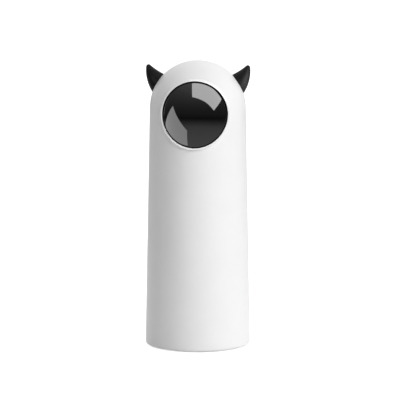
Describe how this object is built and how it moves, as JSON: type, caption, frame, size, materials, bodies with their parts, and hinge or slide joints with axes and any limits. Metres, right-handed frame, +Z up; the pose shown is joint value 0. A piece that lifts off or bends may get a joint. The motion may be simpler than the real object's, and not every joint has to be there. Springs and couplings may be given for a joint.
{
  "type": "automatic cat laser toy",
  "caption": "Upright domed laser toy with a round smoked visor and two small horns; a geared turret inside pans and tilts the laser.",
  "frame": {"origin": "centre of the underside of the foot ring, on the floor", "axes": "+Z up along the body's axis; -Y the front, where the visor looks; +X to the right of someone facing the visor from the front"},
  "size_m": [0.06, 0.0607, 0.164],
  "materials": {
    "white_shell": "satin moulded",
    "smoked_visor": "polished, dark smoked",
    "horn_black": "soft satin black",
    "base_white": "fine moulded texture",
    "foot_rubber": "dull, non-slip",
    "screw_steel": "zinc plated",
    "washer_steel": "stamped",
    "chassis_grey": "moulded",
    "cell_wrap": "shrink film",
    "nickel_tab": "nickel strip",
    "foam_pad": "closed-cell foam",
    "board_green": "solder mask",
    "chip_black": "moulded package",
    "socket_white": "nylon",
    "plunger_black": "moulded",
    "clear_light": "clear acrylic",
    "gear_acetal": "natural acetal",
    "pinion_brass": "turned",
    "motor_steel": "drawn can",
    "laser_glass": "moulded lens"
  },
  "bodies": {
    "housing": {"body_shell": "white_shell", "visor_lens": "smoked_visor", "visor_bezel": "white_shell", "right_horn": "horn_black", "left_horn": "horn_black", "base_cap": "base_white", "foot_ring": "foot_rubber", "base_screws": "screw_steel", "chassis": "chassis_grey", "battery_cell": "cell_wrap", "battery_tabs": "nickel_tab", "battery_pad": "foam_pad", "main_board": "board_green", "board_screws": "screw_steel", "controller_chip": "chip_black", "board_parts": "chip_black", "wire_sockets": "socket_white", "switch_housing": "chip_black", "status_led": "clear_light", "status_light_pipe": "clear_light", "charge_board": "board_green", "charge_chip": "chip_black", "usb_socket": "nickel_tab", "usb_tongue": "chip_black", "pan_gearbox": "pinion_brass", "pan_motor_can": "motor_steel", "pan_motor_endcap": "socket_white", "pan_motor_screws": "screw_steel", "turntable_washer": "washer_steel", "turntable_screw": "screw_steel"},
    "turret": {"turntable_gear": "gear_acetal", "turret_yoke": "chassis_grey", "yoke_screws": "screw_steel", "tilt_motor_can": "motor_steel", "tilt_motor_clip": "motor_steel"},
    "pan_drive": {"pan_pinion": "pinion_brass", "pan_motor_shaft": "motor_steel"},
    "laser": {"laser_cradle": "gear_acetal", "laser_barrel": "pinion_brass", "laser_lens": "laser_glass", "laser_board": "board_green", "cradle_grub_screw": "screw_steel", "tilt_sector": "gear_acetal"},
    "tilt_drive": {"tilt_pinion": "pinion_brass", "tilt_motor_shaft": "motor_steel"},
    "button": {"power_button": "white_shell", "switch_plunger": "plunger_black"}
  },
  "joints": [
    {"name": "power_button_press", "type": "slide", "parent": "housing", "child": "button", "axis": [0, -1, 0], "range_m": [0, 0.0005], "stiffness_N_per_m": 600},
    {"name": "turret_pan", "type": "hinge", "parent": "housing", "child": "turret", "pos_m": [0, 0, 0.1124], "axis": [0, 0, 1], "range_deg": [-35, 35]},
    {"name": "pan_pinion_spin", "type": "hinge", "parent": "housing", "child": "pan_drive", "pos_m": [0.01149, -0.00964, 0.1119], "axis": [0, 0, 1], "range_deg": [-110, 110]},
    {"name": "laser_tilt", "type": "hinge", "parent": "turret", "child": "laser", "pos_m": [0, 0, 0.1366], "axis": [1, 0, 0], "range_deg": [-5, 35]},
    {"name": "tilt_pinion_spin", "type": "hinge", "parent": "turret", "child": "tilt_drive", "pos_m": [0.0127, 0, 0.12535], "axis": [1, 0, 0], "range_deg": [-75, 15]}
  ],
  "couplings": [
    {"joint": "pan_pinion_spin", "follows": "turret_pan", "ratio": -3},
    {"joint": "tilt_pinion_spin", "follows": "laser_tilt", "ratio": -2}
  ]
}
